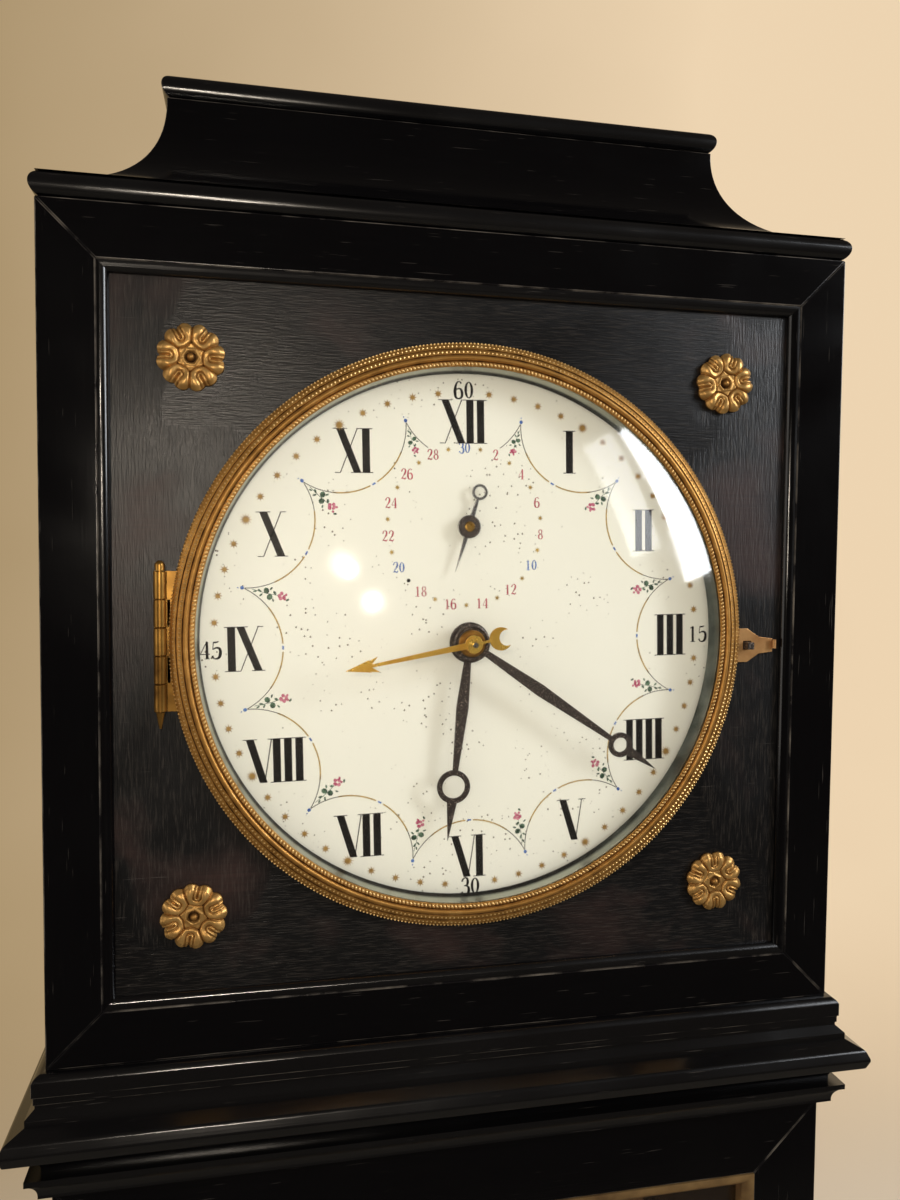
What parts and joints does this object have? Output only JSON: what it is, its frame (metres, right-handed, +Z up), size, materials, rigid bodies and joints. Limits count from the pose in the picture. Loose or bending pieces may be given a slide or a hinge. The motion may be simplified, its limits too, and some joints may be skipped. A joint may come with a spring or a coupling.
{
  "type": "regulator clock",
  "caption": "Floor-standing regulator clock in an ebonised case with a sliding hood, hinged gilt bezel, enamel dial with hour and date circles, glazed trunk door, pendulum and weight drive.",
  "frame": {"origin": "on the floor, under the middle of the case", "axes": "+Z up, front of the clock towards -Y, +X to the viewer's right"},
  "size_m": [0.51, 0.266, 2.0005],
  "materials": {
    "ebonised_wood": "black stain under French polish, satin gloss with rubbed edges",
    "carcass_wood": "plain oiled oak",
    "gilt_bronze": "chased and gilt, worn bright on the high parts",
    "brass": "grained and lacquered",
    "steel": "polished steel",
    "black_steel": "matt black with small rust specks",
    "iron": "black painted casting",
    "enamel": "cream white vitreous enamel with painted figures",
    "clear_glass": "clear, polished",
    "line": "twisted hemp line"
  },
  "bodies": {
    "case": {"plinth_bottom_board": "carcass_wood", "plinth_side_boards": "ebonised_wood", "plinth_front_board": "ebonised_wood", "plinth_base_moulding": "ebonised_wood", "plinth_cap_moulding": "ebonised_wood", "backboard": "carcass_wood", "trunk_side_boards": "ebonised_wood", "trunk_top_rail": "ebonised_wood", "trunk_cornice": "ebonised_wood", "movement_bracket": "iron", "bracket_bolts": "steel", "movement_front_plate": "brass", "movement_back_plate": "brass", "plate_pillars": "brass", "dial": "enamel", "trunk_hinge_fixed_leaves": "brass", "suspension_spring": "steel", "drive_line": "line"},
    "hood": {"hood_front_frame": "ebonised_wood", "hood_front_panel": "ebonised_wood", "hood_panel_bead": "ebonised_wood", "hood_side_boards": "ebonised_wood", "hood_cornice_nosing": "ebonised_wood", "hood_crest_cove": "ebonised_wood", "hood_crest_nosing": "ebonised_wood", "hood_crest_cap": "ebonised_wood", "hood_base_moulding": "ebonised_wood", "corner_rosettes": "gilt_bronze", "bezel_hinge_fixed_leaf": "brass", "bezel_hinge_pin": "steel", "bezel_catch_stud": "steel"},
    "bezel": {"bezel_ring": "gilt_bronze", "bezel_glass": "clear_glass", "bezel_sight_ring": "steel", "bezel_hinge_moving_leaf": "brass", "bezel_latch_lug": "brass"},
    "trunk_door": {"trunk_door_frame": "ebonised_wood", "trunk_door_trim": "gilt_bronze", "trunk_door_glass": "clear_glass", "trunk_hinge_moving_leaves": "brass", "trunk_door_key_plate": "gilt_bronze"},
    "escape": {"escape_wheel": "brass", "seconds_hand": "gilt_bronze"},
    "third": {"third_wheel": "brass"},
    "hour_train": {"hour_arbor": "brass"},
    "great": {"great_wheel": "brass"},
    "idler": {"minute_idler": "brass"},
    "minute": {"cannon_wheel": "brass", "minute_hand": "black_steel"},
    "hour": {"hour_wheel": "brass", "hour_hand": "black_steel"},
    "date_train": {"date_idler": "brass"},
    "date": {"date_wheel": "brass", "date_hand": "steel"},
    "anchor": {"pallet_anchor": "steel"},
    "pendulum": {"pendulum_rod": "steel", "pendulum_bob": "brass", "rating_nut": "brass"},
    "weight": {"driving_weight": "brass"},
    "counter": {"counterweight": "brass"}
  },
  "joints": [
    {"name": "hood_slide", "type": "slide", "parent": "case", "child": "hood", "axis": [0, -1, 0], "range_m": [0, 0.24]},
    {"name": "bezel_hinge", "type": "hinge", "parent": "hood", "child": "bezel", "pos_m": [-0.1665, -0.1175, 1.6829], "axis": [0, 0, -1], "range_deg": [0, 110]},
    {"name": "trunk_door_hinge", "type": "hinge", "parent": "case", "child": "trunk_door", "pos_m": [-0.2264, -0.094, 0.8975], "axis": [0, 0, -1], "range_deg": [0, 110]},
    {"name": "seconds_turn", "type": "hinge", "parent": "case", "child": "escape", "pos_m": [0, 0, 1.68], "axis": [0, 1, 0], "continuous": true},
    {"name": "third_turn", "type": "hinge", "parent": "case", "child": "third", "pos_m": [0.0161, 0, 1.65612], "axis": [0, 1, 0], "continuous": true},
    {"name": "hour_arbor_turn", "type": "hinge", "parent": "case", "child": "hour_train", "pos_m": [-0.00011, 0, 1.63017], "axis": [0, 1, 0], "continuous": true},
    {"name": "great_turn", "type": "hinge", "parent": "case", "child": "great", "pos_m": [-0.00011, 0, 1.57617], "axis": [0, 1, 0], "continuous": true},
    {"name": "idler_turn", "type": "hinge", "parent": "case", "child": "idler", "pos_m": [-0.03006, 0, 1.65515], "axis": [0, 1, 0], "continuous": true},
    {"name": "minute_turn", "type": "hinge", "parent": "case", "child": "minute", "pos_m": [0, 0, 1.68], "axis": [0, 1, 0], "continuous": true},
    {"name": "hour_turn", "type": "hinge", "parent": "case", "child": "hour", "pos_m": [0, 0, 1.68], "axis": [0, 1, 0], "continuous": true},
    {"name": "date_idler_turn", "type": "hinge", "parent": "case", "child": "date_train", "pos_m": [0.02864, 0, 1.71852], "axis": [0, 1, 0], "continuous": true},
    {"name": "date_turn", "type": "hinge", "parent": "case", "child": "date", "pos_m": [0, 0, 1.745], "axis": [0, 1, 0], "continuous": true},
    {"name": "pendulum_swing", "type": "hinge", "parent": "case", "child": "pendulum", "pos_m": [0, 0.034, 1.714], "axis": [0, 1, 0], "range_deg": [-2, 2], "deforming": ["suspension_spring"]},
    {"name": "anchor_swing", "type": "hinge", "parent": "case", "child": "anchor", "pos_m": [0, 0, 1.714], "axis": [0, 1, 0], "range_deg": [-2, 2]},
    {"name": "weight_slide", "type": "slide", "parent": "case", "child": "weight", "axis": [0, 0, 1], "range_m": [0, 0.6], "deforming": ["drive_line"]},
    {"name": "counterweight_slide", "type": "slide", "parent": "case", "child": "counter", "axis": [0, 0, 1], "range_m": [-0.6, 0]}
  ],
  "couplings": [
    {"joint": "third_turn", "follows": "seconds_turn", "ratio": -0.125},
    {"joint": "hour_arbor_turn", "follows": "seconds_turn", "ratio": 0.016667},
    {"joint": "great_turn", "follows": "seconds_turn", "ratio": -0.0020833},
    {"joint": "idler_turn", "follows": "seconds_turn", "ratio": -0.016667},
    {"joint": "minute_turn", "follows": "seconds_turn", "ratio": 0.016667},
    {"joint": "hour_turn", "follows": "seconds_turn", "ratio": 0.0013889},
    {"joint": "date_idler_turn", "follows": "seconds_turn", "ratio": -0.00027778},
    {"joint": "date_turn", "follows": "seconds_turn", "ratio": 0.000023148},
    {"joint": "anchor_swing", "follows": "pendulum_swing", "ratio": 1},
    {"joint": "counterweight_slide", "follows": "weight_slide", "ratio": -1}
  ]
}
